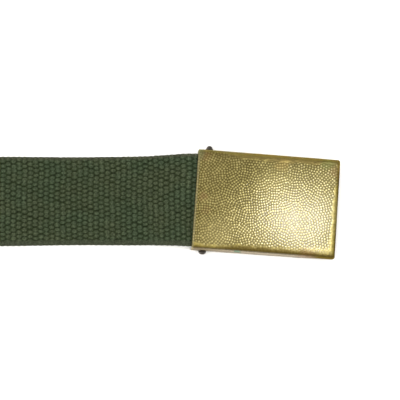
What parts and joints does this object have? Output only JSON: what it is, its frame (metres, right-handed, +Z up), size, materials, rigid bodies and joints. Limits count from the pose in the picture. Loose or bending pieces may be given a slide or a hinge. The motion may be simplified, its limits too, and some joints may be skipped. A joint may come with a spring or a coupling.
{
  "type": "canvas web belt with a pebbled brass box buckle",
  "caption": "Woven cotton web belt with a pebbled brass box buckle, a toothed clamp lever on a cross pin, a friction bar for the free end, and a brass end tip.",
  "frame": {"origin": "on the surface that the belt lies on, under the middle of its length", "axes": "+X along the belt towards the buckle, +Y across it, +Z up out of the buckle's face"},
  "size_m": [1.1387, 0.0487, 0.0107],
  "materials": {
    "webbing": "olive green cotton webbing, thick plain weave, matt",
    "brass": "antiqued brass with darkened hollows, softly polished high spots",
    "steel": "dark oxidised steel, dull"
  },
  "bodies": {
    "belt": {"strap": "webbing", "belt_tip": "brass", "buckle_box": "brass", "hinge_pin": "steel", "friction_bar": "steel"},
    "jaw": {"clamp_jaw": "steel"}
  },
  "joints": [
    {"name": "clamp_hinge", "type": "hinge", "parent": "belt", "child": "jaw", "pos_m": [0.51348, -0.00038, 0.00181], "axis": [0.075, 0.9972, 0], "range_deg": [0, 95]}
  ]
}
